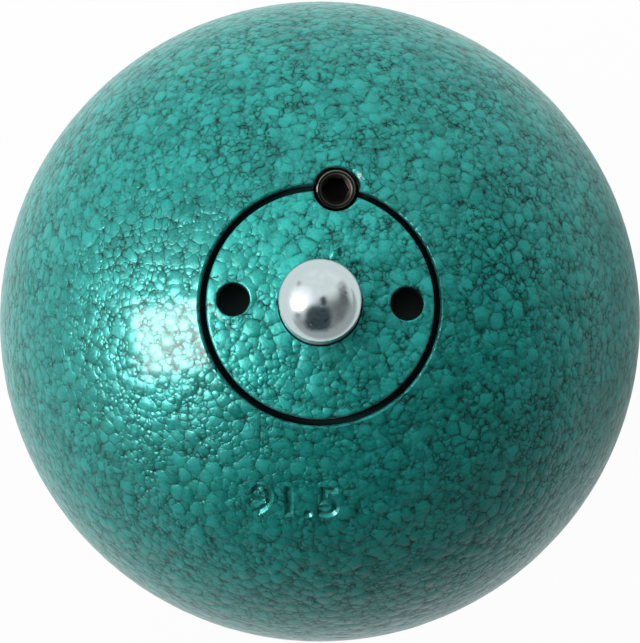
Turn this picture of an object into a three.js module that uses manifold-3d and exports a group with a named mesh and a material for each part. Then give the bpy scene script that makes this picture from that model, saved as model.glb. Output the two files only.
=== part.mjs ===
// Head of an athletics hammer in the 3 kg class, with its ball bearing swivel.
// Millimetres, +Z up along the swivel's axis, origin at the lowest point of the ball.

import * as THREE from 'three';
import { mergeVertices } from 'three/addons/utils/BufferGeometryUtils.js';
import Module from 'manifold-3d';

const wasm = await Module();
wasm.setup();

// Driving dimensions: the ball and its seam
const ballDiameter = 91.5;
const seamWidth = 0.85;
const seamDepth = 1.8;

// Driving dimensions: the screw plug, its two spanner holes and its lock screw
const plugHeight = 18;
const shoulderWidth = 1.65;
const spannerHoleDiameter = 4.4;
const spannerHoleDepth = 7;
const spannerHoleInset = 3.55;
const spannerHoleShift = 0.35;
const lockHoleDiameter = 6;
const lockHoleDepth = 11;
const lockScrewLength = 8;
const lockScrewSunk = 0.9;
const lockScrewAngle = THREE.MathUtils.degToRad(83.5);
const lockScrewChamfer = 0.4;
const hexSocketAcrossFlats = 3;
const hexSocketDepth = 3.2;
const drillPointAngle = THREE.MathUtils.degToRad(118);

// Driving dimensions: the swivel stud and the eye that the wire goes through
const studDiameter = 10.6;
const eyeDiameter = 6;
const eyeLift = 0.7;
const eyeCover = 1.2;
const domeHeight = 3.4;
const flangeDiameter = 20;
const flangeThickness = 5;
const flangeChamfer = 0.6;
const journalStep = 0.6;
const centreDrillDiameter = 3;
const centreDrillAngle = THREE.MathUtils.degToRad(60);

// Driving dimensions: the thrust bearing
const bearingOuterDiameter = 26;
const bearingHeight = 9;
const housingWasherExtraBore = 0.5;
const bearingBallDiameter = 3.5;
const bearingBallCount = 12;
const raceDepth = 0.45;
const raceRadius = 1.95;
const washerChamfer = 0.4;
const cageThickness = 1.8;
const cageEdge = 2.4;

// Driving dimensions: the bush and the dust seal in the plug
const bushWall = 1.5;
const bushLength = 10;
const sealSection = 1.8;
const sealCover = 3.2;

// Clearances between neighbours
const threadGap = 0.3;
const runningGap = 0.2;
const seatGap = 0.1;
const raceGap = 0.15;
const pocketGap = 0.25;
const chamberClearance = 0.5;
const floorClearance = 3;

// Smoothness
const ballSegments = 64;
const turnedSegments = 48;
const ringSegments = 36;
const smallSegments = 24;
const pocketSegments = 16;
const arcStep = THREE.MathUtils.degToRad(5.6);
const domeStep = THREE.MathUtils.degToRad(11.25);
const sealStep = THREE.MathUtils.degToRad(45);
const raceHalfSteps = 3;
const bearingBallDetail = 2;
const cutterOverrun = 2;

// Radii and heights worked out from the sizes above
const ballRadius = ballDiameter / 2;
const ballTop = ballDiameter;
const chamberRadius = bearingOuterDiameter / 2 + chamberClearance;
const plugBoreRadius = chamberRadius + shoulderWidth;
const plugRadius = plugBoreRadius - threadGap;
const mouthRadius = plugRadius + seamWidth;
const plugUnderside = ballTop - plugHeight;
const lockRadius = (plugRadius + mouthRadius) / 2;
const spannerRadius = plugRadius - spannerHoleInset;

const studRadius = studDiameter / 2;
const studBoreRadius = studRadius + runningGap;
const eyeHeight = ballTop + eyeLift + eyeDiameter / 2;
const shoulderHeight = eyeHeight + eyeDiameter / 2 + eyeCover;
const domeRadius = (studRadius ** 2 + domeHeight ** 2) / (2 * domeHeight);
const domeCentre = shoulderHeight + domeHeight - domeRadius;

const journalRadius = studRadius + journalStep;
const shaftWasherBoreRadius = journalRadius + seatGap;
const housingWasherBoreRadius = shaftWasherBoreRadius + housingWasherExtraBore;
const bearingRadius = bearingOuterDiameter / 2;
const pitchRadius = (shaftWasherBoreRadius + bearingRadius) / 2;
const bearingBallRadius = bearingBallDiameter / 2;
const faceDistance = bearingBallDiameter + 2 * raceGap - 2 * raceDepth;
const washerThickness = (bearingHeight - faceDistance) / 2;
const bearingTop = plugUnderside - seatGap;
const bearingMiddle = bearingTop - bearingHeight / 2;
const flangeTop = bearingTop - bearingHeight - seatGap;
const flangeBottom = flangeTop - flangeThickness;
const chamberFloor = flangeBottom - floorClearance;

const sealTop = ballTop - sealCover;
const sealGrooveHeight = sealSection + 2 * seatGap;
const sealGrooveBottom = sealTop - sealGrooveHeight;
const bushOuterRadius = studBoreRadius + bushWall;
const bushBoreRadius = bushOuterRadius + seatGap;
const bushTop = plugUnderside + bushLength;

// Height of the ball's surface at a distance from the swivel's axis
function surfaceHeight(radius) {
  return ballRadius + Math.sqrt(ballRadius ** 2 - radius ** 2);
}

// Points of an arc as [radius, height], from one angle to another, both ends included
function arc(centreRadius, centreHeight, radius, from, to, step = arcStep) {
  const count = Math.max(2, Math.ceil(Math.abs(to - from) / step));
  return Array.from({ length: count + 1 }, (_, i) => {
    const angle = from + (to - from) * i / count;
    return [centreRadius + radius * Math.cos(angle), centreHeight + radius * Math.sin(angle)];
  });
}

// Points of the ball's surface between two distances from the axis, on its upper half
function surfaceArc(fromRadius, toRadius) {
  return arc(0, ballRadius, ballRadius,
    Math.acos(fromRadius / ballRadius), Math.acos(toRadius / ballRadius));
}

// A turned solid: the profile goes round its section with the material on the left
function turned(profile, segments = turnedSegments) {
  const points = profile.map(([radius, height]) => new THREE.Vector2(radius, height));
  return new THREE.LatheGeometry(points, segments).rotateX(Math.PI / 2);
}

// The same, for a section that doesn't touch the axis and closes on itself
function turnedRing(profile, segments = ringSegments) {
  return turned([...profile, profile[0]], segments);
}

// A straight cutter or pin along +Z, from one height to another
function rod(radius, bottom, top, segments = smallSegments) {
  return new THREE.CylinderGeometry(radius, radius, top - bottom, segments)
    .rotateX(Math.PI / 2)
    .translate(0, 0, (bottom + top) / 2);
}

// The hole of a twist drill: straight down from the top, with the drill's point below the floor
function drilled(radius, floor, top) {
  const point = radius / Math.tan(drillPointAngle / 2);
  return turned([[0, floor - point], [radius, floor], [radius, top], [0, top]], smallSegments);
}

function toSolid(geometry) {
  const bare = new THREE.BufferGeometry();
  bare.setAttribute('position', geometry.getAttribute('position'));
  bare.setIndex(geometry.getIndex());
  const welded = mergeVertices(bare);
  const corners = welded.getIndex().array;
  const kept = [];
  for (let i = 0; i < corners.length; i += 3) {
    const [a, b, c] = corners.subarray(i, i + 3);
    if (a !== b && b !== c && c !== a) kept.push(a, b, c);
  }
  return new wasm.Manifold(new wasm.Mesh({
    numProp: 3,
    vertProperties: new Float32Array(welded.getAttribute('position').array),
    triVerts: new Uint32Array(kept),
  }));
}

function toGeometry(solid) {
  const mesh = solid.getMesh();
  const geometry = new THREE.BufferGeometry();
  geometry.setAttribute('position', new THREE.BufferAttribute(mesh.vertProperties, 3));
  geometry.setIndex(new THREE.BufferAttribute(mesh.triVerts, 1));
  return geometry;
}

function cut(geometry, ...cutters) {
  const solid = cutters.reduce((rest, cutter) => rest.subtract(toSolid(cutter)), toSolid(geometry));
  return toGeometry(solid);
}

// Cast iron ball: one turned body with the stepped bore for the plug, the bearing and the flange
function ballBodyGeometry() {
  const seamFloor = surfaceHeight(mouthRadius) - seamDepth;
  const shoulder = plugUnderside - seatGap;
  const drillPoint = chamberRadius / Math.tan(drillPointAngle / 2);
  const outside = arc(0, ballRadius, ballRadius, -Math.PI / 2, Math.acos(mouthRadius / ballRadius));
  const body = turned([
    ...outside,
    [mouthRadius, seamFloor],
    [plugBoreRadius, seamFloor],
    [plugBoreRadius, shoulder],
    [chamberRadius, shoulder],
    [chamberRadius, chamberFloor],
    [0, chamberFloor - drillPoint],
  ], ballSegments);
  return cut(body, lockHole());
}

// The lock screw's hole lies half in the ball and half in the plug
function lockHole() {
  const top = surfaceHeight(lockRadius);
  return drilled(lockHoleDiameter / 2, top - lockHoleDepth, top + cutterOverrun)
    .translate(...lockPlace());
}

function lockPlace() {
  return [lockRadius * Math.cos(lockScrewAngle), lockRadius * Math.sin(lockScrewAngle), 0];
}

// Steel screw plug: its top carries on the ball's own curve, and its two spanner holes
// lie a little off its middle line
function screwPlugGeometry() {
  const body = turnedRing([
    [bushBoreRadius, plugUnderside],
    [plugRadius, plugUnderside],
    ...surfaceArc(plugRadius, studBoreRadius),
    [studBoreRadius, sealTop],
    [sealGrooveRadius(), sealTop],
    [sealGrooveRadius(), sealGrooveBottom],
    [studBoreRadius, sealGrooveBottom],
    [studBoreRadius, bushTop + seatGap],
    [bushBoreRadius, bushTop + seatGap],
  ], ballSegments);
  const spannerHoles = [-spannerRadius, spannerRadius]
    .map((x) => spannerHole().translate(x, spannerHoleShift, 0));
  return cut(body, lockHole(), ...spannerHoles);
}

function sealGrooveRadius() {
  return studRadius + sealSection + 2 * seatGap;
}

function spannerHole() {
  const top = surfaceHeight(spannerRadius);
  return drilled(spannerHoleDiameter / 2, top - spannerHoleDepth, top + cutterOverrun);
}

// Grub screw with a hexagon socket, sunk below the ball's surface
function lockScrewGeometry() {
  const radius = lockHoleDiameter / 2 - threadGap;
  const top = surfaceHeight(lockRadius) - lockScrewSunk;
  const bottom = top - lockScrewLength;
  const body = turned([
    [0, bottom],
    [radius - lockScrewChamfer, bottom],
    [radius, bottom + lockScrewChamfer],
    [radius, top - lockScrewChamfer],
    [radius - lockScrewChamfer, top],
    [0, top],
  ], smallSegments);
  const hexCornerRadius = hexSocketAcrossFlats / Math.sqrt(3);
  return cut(body, rod(hexCornerRadius, top - hexSocketDepth, top + cutterOverrun, 6));
}

// Bronze bush that guides the stud in the plug
function plugBushGeometry() {
  return turnedRing([
    [studBoreRadius, plugUnderside],
    [bushOuterRadius, plugUnderside],
    [bushOuterRadius, bushTop],
    [studBoreRadius, bushTop],
  ], turnedSegments);
}

// Rubber ring that keeps dirt out and grease in
function dustSealGeometry() {
  const middle = studRadius + seatGap + sealSection / 2;
  const height = sealTop - sealGrooveHeight / 2;
  const section = arc(middle, height, sealSection / 2, 0, 2 * Math.PI, sealStep);
  return turned(section, ringSegments);
}

// Steel stud: domed end with the wire's eye, shank, journal for the shaft washer, and flange
function swivelStudGeometry() {
  const dome = arc(0, domeCentre, domeRadius,
    Math.acos(studRadius / domeRadius), Math.PI / 2, domeStep);
  const journalTop = flangeTop + washerThickness;
  const centreDrillRadius = centreDrillDiameter / 2;
  const centreDrillDepth = centreDrillRadius / Math.tan(centreDrillAngle / 2);
  const body = turned([
    [0, flangeBottom + centreDrillDepth],
    [centreDrillRadius, flangeBottom],
    [flangeDiameter / 2 - flangeChamfer, flangeBottom],
    [flangeDiameter / 2, flangeBottom + flangeChamfer],
    [flangeDiameter / 2, flangeTop - flangeChamfer],
    [flangeDiameter / 2 - flangeChamfer, flangeTop],
    [journalRadius, flangeTop],
    [journalRadius, journalTop - journalStep],
    [studRadius, journalTop],
    ...dome,
  ]);
  const eye = rod(eyeDiameter / 2, -studDiameter, studDiameter, turnedSegments)
    .rotateY(Math.PI / 2)
    .translate(0, 0, eyeHeight);
  return cut(body, eye);
}

// One washer of the bearing, its race facing up, its back at height 0
function washerGeometry(boreRadius) {
  const raceCentre = washerThickness - raceDepth + raceRadius;
  const raceHalfAngle = Math.acos((raceRadius - raceDepth) / raceRadius);
  return turnedRing([
    [boreRadius, 0],
    [bearingRadius - washerChamfer, 0],
    [bearingRadius, washerChamfer],
    [bearingRadius, washerThickness],
    ...arc(pitchRadius, raceCentre, raceRadius,
      -Math.PI / 2 + raceHalfAngle, -Math.PI / 2 - raceHalfAngle, raceHalfAngle / raceHalfSteps),
    [boreRadius, washerThickness],
  ]);
}

function shaftWasherGeometry() {
  return washerGeometry(shaftWasherBoreRadius);
}

function housingWasherGeometry() {
  return washerGeometry(housingWasherBoreRadius);
}

// Ring with a round pocket for each ball, centred on height 0
function bearingCageGeometry() {
  const half = cageThickness / 2;
  const inner = pitchRadius - cageEdge;
  const outer = pitchRadius + cageEdge;
  const ring = turnedRing([[inner, -half], [outer, -half], [outer, half], [inner, half]]);
  const pockets = ballPlaces().map(({ x, y }) => rod(
    bearingBallRadius + pocketGap, -cageThickness, cageThickness, pocketSegments).translate(x, y, 0));
  return cut(ring, ...pockets);
}

function ballPlaces() {
  return Array.from({ length: bearingBallCount }, (_, i) => {
    const angle = 2 * Math.PI * i / bearingBallCount;
    return { x: pitchRadius * Math.cos(angle), y: pitchRadius * Math.sin(angle) };
  });
}

function bearingBallGeometry() {
  return new THREE.IcosahedronGeometry(bearingBallRadius, bearingBallDetail);
}

// Finishes
const finishes = {
  hammerPaint: new THREE.MeshStandardMaterial({ color: 0x2f9c8c, roughness: 0.3, metalness: 0.35 }),
  blackOxide: new THREE.MeshStandardMaterial({ color: 0x24221f, roughness: 0.45, metalness: 0.8 }),
  chrome: new THREE.MeshStandardMaterial({ color: 0xdfe2e4, roughness: 0.06, metalness: 1 }),
  bearingSteel: new THREE.MeshStandardMaterial({ color: 0xb9bcc0, roughness: 0.2, metalness: 1 }),
  bronze: new THREE.MeshStandardMaterial({ color: 0xa8793f, roughness: 0.4, metalness: 0.9 }),
  cageSteel: new THREE.MeshStandardMaterial({ color: 0xa3a196, roughness: 0.35, metalness: 1 }),
  rubber: new THREE.MeshStandardMaterial({ color: 0x161616, roughness: 0.8, metalness: 0 }),
};

const hammerHead = new THREE.Group();

function place(parent, name, geometry, finish, x = 0, y = 0, z = 0) {
  const mesh = new THREE.Mesh(geometry, finishes[finish]);
  mesh.name = name;
  mesh.position.set(x, y, z);
  parent.add(mesh);
  return mesh;
}

place(hammerHead, 'ball_body', ballBodyGeometry(), 'hammerPaint');
place(hammerHead, 'screw_plug', screwPlugGeometry(), 'hammerPaint');
place(hammerHead, 'lock_screw', lockScrewGeometry(), 'blackOxide', ...lockPlace());
place(hammerHead, 'plug_bush', plugBushGeometry(), 'bronze');
place(hammerHead, 'dust_seal', dustSealGeometry(), 'rubber');
place(hammerHead, 'swivel_stud', swivelStudGeometry(), 'chrome');

const bearing = new THREE.Group();
bearing.position.z = bearingMiddle;
hammerHead.add(bearing);
place(bearing, 'shaft_washer', shaftWasherGeometry(), 'bearingSteel', 0, 0, -bearingHeight / 2);
const housingWasher = place(bearing, 'housing_washer', housingWasherGeometry(), 'bearingSteel');
housingWasher.position.z = bearingHeight / 2;
housingWasher.rotation.x = Math.PI;
place(bearing, 'bearing_cage', bearingCageGeometry(), 'cageSteel');
ballPlaces().forEach(({ x, y }, i) => {
  const number = String(i + 1).padStart(2, '0');
  place(bearing, `bearing_ball_${number}`, bearingBallGeometry(), 'bearingSteel', x, y);
});

export default hammerHead;
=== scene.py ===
"""Head of an athletics hammer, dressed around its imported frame: painted ball, screw plug, lock screw and swivel."""

import math

import bmesh
import bpy
import numpy as np
from bpy.props import FloatProperty, FloatVectorProperty, PointerProperty
from mathutils import Matrix, Vector


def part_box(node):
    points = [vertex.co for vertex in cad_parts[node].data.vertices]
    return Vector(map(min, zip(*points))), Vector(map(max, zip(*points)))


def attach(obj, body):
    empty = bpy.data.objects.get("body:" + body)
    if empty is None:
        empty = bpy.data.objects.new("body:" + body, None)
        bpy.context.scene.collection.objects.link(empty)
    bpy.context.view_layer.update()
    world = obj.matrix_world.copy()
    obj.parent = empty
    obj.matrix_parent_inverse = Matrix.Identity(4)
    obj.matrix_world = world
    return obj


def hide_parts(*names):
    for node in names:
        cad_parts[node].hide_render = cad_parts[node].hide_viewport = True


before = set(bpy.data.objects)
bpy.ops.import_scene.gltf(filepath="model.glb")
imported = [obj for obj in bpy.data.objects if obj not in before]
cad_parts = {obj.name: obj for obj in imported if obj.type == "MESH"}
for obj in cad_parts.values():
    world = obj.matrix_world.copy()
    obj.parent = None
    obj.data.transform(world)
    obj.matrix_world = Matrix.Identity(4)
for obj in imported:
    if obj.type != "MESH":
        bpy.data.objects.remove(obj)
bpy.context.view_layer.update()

bl_info = {
    "name": "Athletics hammer head",
    "version": (1, 0, 0),
    "blender": (4, 5, 0),
    "location": "3D View > Sidebar > Hammer",
    "description": "Builds the visible pieces of an athletics hammer's head around its packed frame",
    "category": "Add Mesh",
}

MM = 0.001
BALL_COUNT = 12
SEAT_GAP = 0.1  # millimetres between pieces that sit on each other
DRILL_POINT = math.radians(118)
LAST_LEAN = 78  # degrees, where the quarter circle round a hole's mouth gives way to its cutter's collar
WORN_SLOPE = math.radians(41)  # of the flat that is worn into the mouth of the lock screw's hole
WORN_SIDE = math.radians(22)  # direction in which that flat lies from the hole's middle
FLAKE = (1.65, 6.7)  # place of the raised flake of paint on the plug, in millimetres
KEY_WAY = Vector((-0.793, -0.132, 0.595))  # from the ball's middle to the lamps
DIM_WAY = (0.31, -0.90, 0.10)  # towards the studio's dim side
CELLS = (  # the paint's sets of cells: size in millimetres, height of a dome, and how far clusters lift it
    (2.2, 1.0, -0.8),
    (1.4, 0.86, 0.5),
    (0.85, 0.68, 1.2),
)


# Sizes and looks that a user would change


def length(name, millimetres, description):
    """A length property, shown in the scene's units."""
    return FloatProperty(name=name, description=description, default=millimetres * MM,
                         min=0.0, unit="LENGTH", subtype="DISTANCE", precision=5)


def colour(name, value, description):
    """A colour property, in linear values."""
    return FloatVectorProperty(name=name, description=description, default=value,
                               size=3, min=0.0, max=1.0, subtype="COLOR")


class HeadSizes(bpy.types.PropertyGroup):
    """Sizes of the head, the same as the frame's, and of the details that only show close up."""

    ball_diameter: length("Ball", 91.5, "Diameter of the ball")
    plug_diameter: length("Plug", 29.7, "Diameter of the screw plug")
    seam_width: length("Seam", 0.85, "Width of the gap between plug and ball")
    seam_depth: length("Seam depth", 1.8, "Depth of the seam before the thread starts")
    chamber_diameter: length("Chamber", 27, "Diameter of the chamber for the bearing")
    chamber_floor: length("Chamber floor", 56.3, "Height of the chamber's floor")
    spanner_diameter: length("Spanner holes", 4.4, "Diameter of the two spanner holes")
    spanner_depth: length("Spanner depth", 7, "Depth of the spanner holes")
    spanner_inset: length("Spanner inset", 3.55, "From the plug's edge to a spanner hole's middle")
    spanner_shift: length("Spanner shift", 0.35, "Of the spanner holes from the plug's middle line")
    lock_diameter: length("Lock hole", 6, "Diameter of the lock screw's hole")
    lock_depth: length("Lock depth", 11, "Depth of the lock screw's hole")
    screw_diameter: length("Lock screw", 5.4, "Diameter of the lock screw")
    socket_width: length("Socket", 3, "Width of the lock screw's hexagon socket, across flats")
    socket_depth: length("Socket depth", 3.2, "Depth of the lock screw's hexagon socket")
    stud_diameter: length("Stud", 10.6, "Diameter of the swivel stud")
    stud_gap: length("Stud gap", 0.2, "Gap between the stud and the plug's bore")
    journal_step: length("Journal step", 0.6, "Step from the stud to the bearing's journal")
    dome_height: length("Dome", 3.4, "Height of the stud's dome above its shoulder")
    eye_diameter: length("Eye", 6, "Diameter of the wire's eye")
    eye_height: length("Eye height", 95.2, "Height of the eye's middle")
    thread_pitch: length("Thread pitch", 1.5, "Pitch of the plug's thread")
    thread_depth: length("Thread depth", 0.65, "Depth of the plug's thread")
    edge_round: length("Edges", 0.25, "Rounding of the painted edges")
    relief: length("Paint relief", 0.045, "Height of the paint's cells")
    number_height: length("Number", 4.5, "Height of the engraved number")
    number_depth: length("Number depth", 0.52, "Depth of the engraved number")


class HeadLook(bpy.types.PropertyGroup):
    """Colours of the head."""

    paint: colour("Paint", (0.002, 0.140, 0.120), "Colour of the hammer paint")
    paint_pale: colour("Pale paint", (0.022, 0.335, 0.296), "Colour of the thickest cells of the paint")
    # The vein colour is also the colour of the painted shade in the creases, in recesses and beside the flake.
    paint_vein_and_shade: colour("Paint veins", (0.0, 0.020, 0.018), "Colour between the cells")
    iron: colour("Bare iron", (0.004, 0.011, 0.012), "Colour of the oily iron inside")
    oxide: colour("Black oxide", (0.006, 0.0055, 0.005), "Colour of the lock screw")
    chrome: colour("Chrome", (0.525, 0.56, 0.572), "Colour of the swivel stud")
    steel: colour("Bearing steel", (0.56, 0.57, 0.58), "Colour of the bearing")
    bronze: colour("Bronze", (0.43, 0.23, 0.09), "Colour of the bush")
    rubber: colour("Rubber", (0.012, 0.012, 0.012), "Colour of the seal")


class StageLook(bpy.types.PropertyGroup):
    """Camera and light."""

    camera_distance: length("Camera distance", 457.5, "From the camera to the ball's middle")
    camera_lens: FloatProperty(name="Lens", description="Focal length in millimetres", default=178.4, min=1.0)
    camera_tilt: FloatProperty(name="Tilt", description="How far the camera leans from straight above",
                               default=math.radians(2.9), subtype="ANGLE")
    camera_roll: FloatProperty(name="Roll", description="Turn of the camera round its own axis",
                               default=math.radians(1.4), subtype="ANGLE")
    key_power: FloatProperty(name="Key lamp", description="Power of the key lamp in watts",
                             default=2.25, min=0.0, unit="POWER")
    glint_power: FloatProperty(name="Glint lamp", description="Power of the warm lamp that only glossy rays see",
                               default=26.0, min=0.0, unit="POWER")
    sky_bright: FloatProperty(name="Bright side", description="Strength of the studio's bright side",
                              default=2.18, min=0.0)
    sky_dim: FloatProperty(name="Dim side", description="Strength of the studio's dim side",
                           default=0.02, min=0.0)


# Shader maths


class Value:
    """A socket's output. Arithmetic on it adds Math nodes."""

    def __init__(self, graph, socket):
        self.graph = graph
        self.socket = socket

    def __add__(self, other):
        return self.graph.math("ADD", self, other)

    def __sub__(self, other):
        return self.graph.math("SUBTRACT", self, other)

    def __rsub__(self, other):
        return self.graph.math("SUBTRACT", other, self)

    def __mul__(self, other):
        return self.graph.math("MULTIPLY", self, other)

    def __truediv__(self, other):
        return self.graph.math("DIVIDE", self, other)

    def __rtruediv__(self, other):
        return self.graph.math("DIVIDE", other, self)

    def __pow__(self, other):
        return self.graph.math("POWER", self, other)

    def __rpow__(self, other):
        return self.graph.math("POWER", other, self)

    def __gt__(self, other):
        return self.graph.math("GREATER_THAN", self, other)

    def __lt__(self, other):
        return self.graph.math("LESS_THAN", self, other)

    def output(self, name):
        """Another output of the same node."""
        return Value(self.graph, self.socket.node.outputs[name])

    __radd__ = __add__
    __rmul__ = __mul__

    def step(self, low, high):
        """0 at low, 1 at high, with a smooth way between. Low may be the greater."""
        if low > high:
            return 1 - self.step(high, low)
        return self.graph.node("ShaderNodeMapRange", {"interpolation_type": "SMOOTHSTEP"},
                               {"Value": self, "From Min": low, "From Max": high})


class Graph:
    """A node tree that is written as expressions."""

    def __init__(self, tree):
        self.tree = tree
        tree.nodes.clear()

    def node(self, kind, settings=None, inputs=None, output=0):
        """Adds a node, sets its settings, fills or links its sockets, and returns one of its outputs."""
        node = self.tree.nodes.new(kind)
        for key, value in (settings or {}).items():
            setattr(node, key, value)
        for key, value in (inputs or {}).items():
            if isinstance(value, Value):
                self.tree.links.new(value.socket, node.inputs[key])
            else:
                node.inputs[key].default_value = value
        return Value(self, node.outputs[output]) if len(node.outputs) else node

    def math(self, operation, *values):
        return self.node("ShaderNodeMath", {"operation": operation}, dict(enumerate(values)))

    def vector(self, operation, *values, output=0):
        return self.node("ShaderNodeVectorMath", {"operation": operation}, dict(enumerate(values)), output)

    def scale(self, vector, factor):
        return self.node("ShaderNodeVectorMath", {"operation": "SCALE"}, {0: vector, "Scale": factor})

    def mix(self, factor, first, second):
        """Colour between first and second."""
        first, second = (v if isinstance(v, Value) else (*v, 1.0) for v in (first, second))
        return self.node("ShaderNodeMix", {"data_type": "RGBA"}, {0: factor, 6: first, 7: second}, 2)

    def axes(self, vector):
        """The vector's X, Y and Z."""
        x = self.node("ShaderNodeSeparateXYZ", None, {0: vector})
        return x, x.output("Y"), x.output("Z")

    def hypot(self, x, y):
        return self.math("SQRT", x * x + y * y)

    def dot(self, first, second):
        return self.vector("DOT_PRODUCT", first, second, output=1)

    def noise(self, place, size, detail=2.0, roughness=0.5, output=0):
        """Noise whose features have the given size."""
        return self.node("ShaderNodeTexNoise", None,
                         {"Vector": place, "Scale": 1 / size, "Detail": detail, "Roughness": roughness}, output)

    def voronoi(self, place, size, feature):
        """Cells of the given size: the distance to the nearest middle, F1, or DISTANCE_TO_EDGE."""
        return self.node("ShaderNodeTexVoronoi", {"feature": feature}, {"Vector": place, "Scale": 1 / size})

    def bump(self, height, metres):
        """Normal of a surface with this relief, whose height is in shares of the given metres."""
        return self.node("ShaderNodeBump", None, {"Height": height, "Distance": metres, "Strength": 1.0})


def between(factor, first, second):
    """Value between first and second."""
    return first + factor * (second - first)


def material(name):
    """A new material with a principled shader, its graph and a call that fills the shader's sockets."""
    made = bpy.data.materials.new(name)
    made.use_nodes = True
    graph = Graph(made.node_tree)

    def surface(**sockets):
        inputs = {key.replace("_", " "): value for key, value in sockets.items()}
        shader = graph.node("ShaderNodeBsdfPrincipled", None, inputs)
        graph.node("ShaderNodeOutputMaterial", None, {"Surface": shader})
        return made

    place = graph.node("ShaderNodeTexCoord", output="Object")
    return graph, place, surface


# The paint's cells, the same in the shader and in the mesh


def bend(graph, place, size, reach):
    """The place, moved by a noise of the given size as far as reach, so that straight lines wander."""
    noise = graph.noise(place, size, detail=1.0, output="Color")
    centred = graph.vector("SUBTRACT", noise, (0.5, 0.5, 0.5))
    return graph.vector("ADD", place, graph.scale(centred, 2 * reach))


def paint_cells(graph, place):
    """Hammer paint: three sets of domed cells, of which the highest shows. Where two domes meet there is a crease.
    Returns the height; a mask of the paint's dark veins at the cells' edges and creases, each widened by a soft band
    of painted shade; and the showing cell's own tint."""
    bent = bend(graph, place, 2.4 * MM, 0.34 * MM)
    bent = bend(graph, bent, 0.75 * MM, 0.15 * MM)
    cluster = graph.noise(place, 6.5 * MM, detail=1.0) - 0.5
    height, vein_and_shade, tint = None, None, None
    for size, top, gain in CELLS:
        nearest = graph.voronoi(bent, size * MM, "F1")
        edge = graph.voronoi(bent, size * MM, "DISTANCE_TO_EDGE")
        dome = (1 - (nearest * 1.55) ** 2) * top + cluster * gain
        # A thin dark vein at each cell's edge, with a wider soft band of painted shade round it.
        rim = edge.step(0.10 / size, 0.02 / size) * 0.5 + edge.step(0.42 / size, 0.0) * 0.5
        if height is None:
            height, vein_and_shade, tint = dome, rim, nearest.output("Color")
            continue
        over = dome > height
        apart = graph.math("ABSOLUTE", dome - height)
        # The same where two domes meet: a thin dark vein in the crease and a wider soft band of painted shade.
        crease = apart.step(0.07, 0.0) * 0.5 + apart.step(0.32, 0.0) * 0.5
        vein_and_shade = graph.math("MAXIMUM", between(over, vein_and_shade, rim), crease)
        tint = graph.mix(over, tint, nearest.output("Color"))
        height = graph.math("MAXIMUM", height, dome)
    return height, vein_and_shade, tint


def relief_modifier(height):
    """Node group that lifts each point along the ball's radius by the paint's cells."""
    group = bpy.data.node_groups.new("paint_relief", "GeometryNodeTree")
    group.interface.new_socket("Geometry", in_out="INPUT", socket_type="NodeSocketGeometry")
    group.interface.new_socket("Geometry", in_out="OUTPUT", socket_type="NodeSocketGeometry")
    graph = Graph(group)
    place = graph.node("GeometryNodeInputPosition")
    dome = paint_cells(graph, place)[0]
    swell = graph.noise(place, 7 * MM, detail=1.0)
    radial = graph.vector("NORMALIZE", graph.vector("SUBTRACT", place, (0.0, 0.0, plan().ball * MM)))
    offset = graph.scale(radial, (dome - 1.5 + (swell - 0.5) * 1.4) * height)
    moved = graph.node("GeometryNodeSetPosition", None,
                       {"Geometry": graph.node("NodeGroupInput"), "Offset": offset})
    graph.node("NodeGroupOutput", None, {0: moved})
    return group


# Surfaces, in millimetres


class Plan:
    """Radii and heights in millimetres, worked out from the sizes and from the frame's boxes."""

    def __init__(self, sizes):
        def mm(name):
            return getattr(sizes, name) / MM

        self.ball = mm("ball_diameter") / 2
        self.plug = mm("plug_diameter") / 2
        self.mouth = self.plug + mm("seam_width")
        self.chamber = mm("chamber_diameter") / 2
        self.floor = mm("chamber_floor")
        self.seam_floor = self.surface(self.mouth) - mm("seam_depth")
        self.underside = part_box("screw_plug")[0].z / MM
        self.shoulder = self.underside - SEAT_GAP
        self.spanner = mm("spanner_diameter") / 2
        self.spanner_place = self.plug - mm("spanner_inset")
        self.spanner_floor = self.surface(self.spanner_place) - mm("spanner_depth")
        self.spanner_shift = mm("spanner_shift")
        low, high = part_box("lock_screw")
        self.screw_low, self.screw_high = low.z / MM, high.z / MM
        self.lock_place = ((low.x + high.x) / 2 / MM, (low.y + high.y) / 2 / MM)
        self.lock = mm("lock_diameter") / 2
        self.lock_floor = self.surface(math.hypot(*self.lock_place)) - mm("lock_depth")
        self.screw = mm("screw_diameter") / 2
        self.socket = mm("socket_width") / 2
        self.socket_floor = self.screw_high - mm("socket_depth")
        self.stud = mm("stud_diameter") / 2
        self.bore = self.stud + mm("stud_gap")
        self.journal = self.stud + mm("journal_step")
        self.eye = mm("eye_diameter") / 2
        self.eye_height = mm("eye_height")
        low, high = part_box("swivel_stud")
        self.stud_low, self.stud_high = low.z / MM, high.z / MM
        self.flange = high.x / MM
        self.dome_height = mm("dome_height")
        self.pitch = mm("thread_pitch")
        self.thread = mm("thread_depth")
        self.edge = mm("edge_round")
        self.thread_low = self.underside + 0.8
        self.thread_high = self.seam_floor - 0.4

    def surface(self, radius):
        """Height of the ball's surface at a distance from the swivel's axis, by Pythagoras."""
        return self.ball + np.sqrt(np.maximum(self.ball**2 - np.square(radius), 0))


def plan():
    """The plan for the scene's sizes."""
    return Plan(bpy.context.scene.hammer_sizes)


def ring(radius, height, count, centre=(0.0, 0.0)):
    """Circle round Z: radius and height are one number, or one for each of its points."""
    angle = 2 * math.pi * np.arange(count) / count
    return np.column_stack((centre[0] + radius * np.cos(angle), centre[1] + radius * np.sin(angle),
                            np.broadcast_to(height, count)))


def point(x, y, z):
    """A ring of one point."""
    return np.array([[x, y, z]], dtype=float)


def lathe(profile, count, centre=(0.0, 0.0)):
    """Rings of a turned surface: each (radius, height) of the profile carried round Z. Radius 0 is a single point."""
    return [ring(r, z, count, centre) if r > 1e-6 else point(*centre, z) for r, z in profile]


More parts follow.
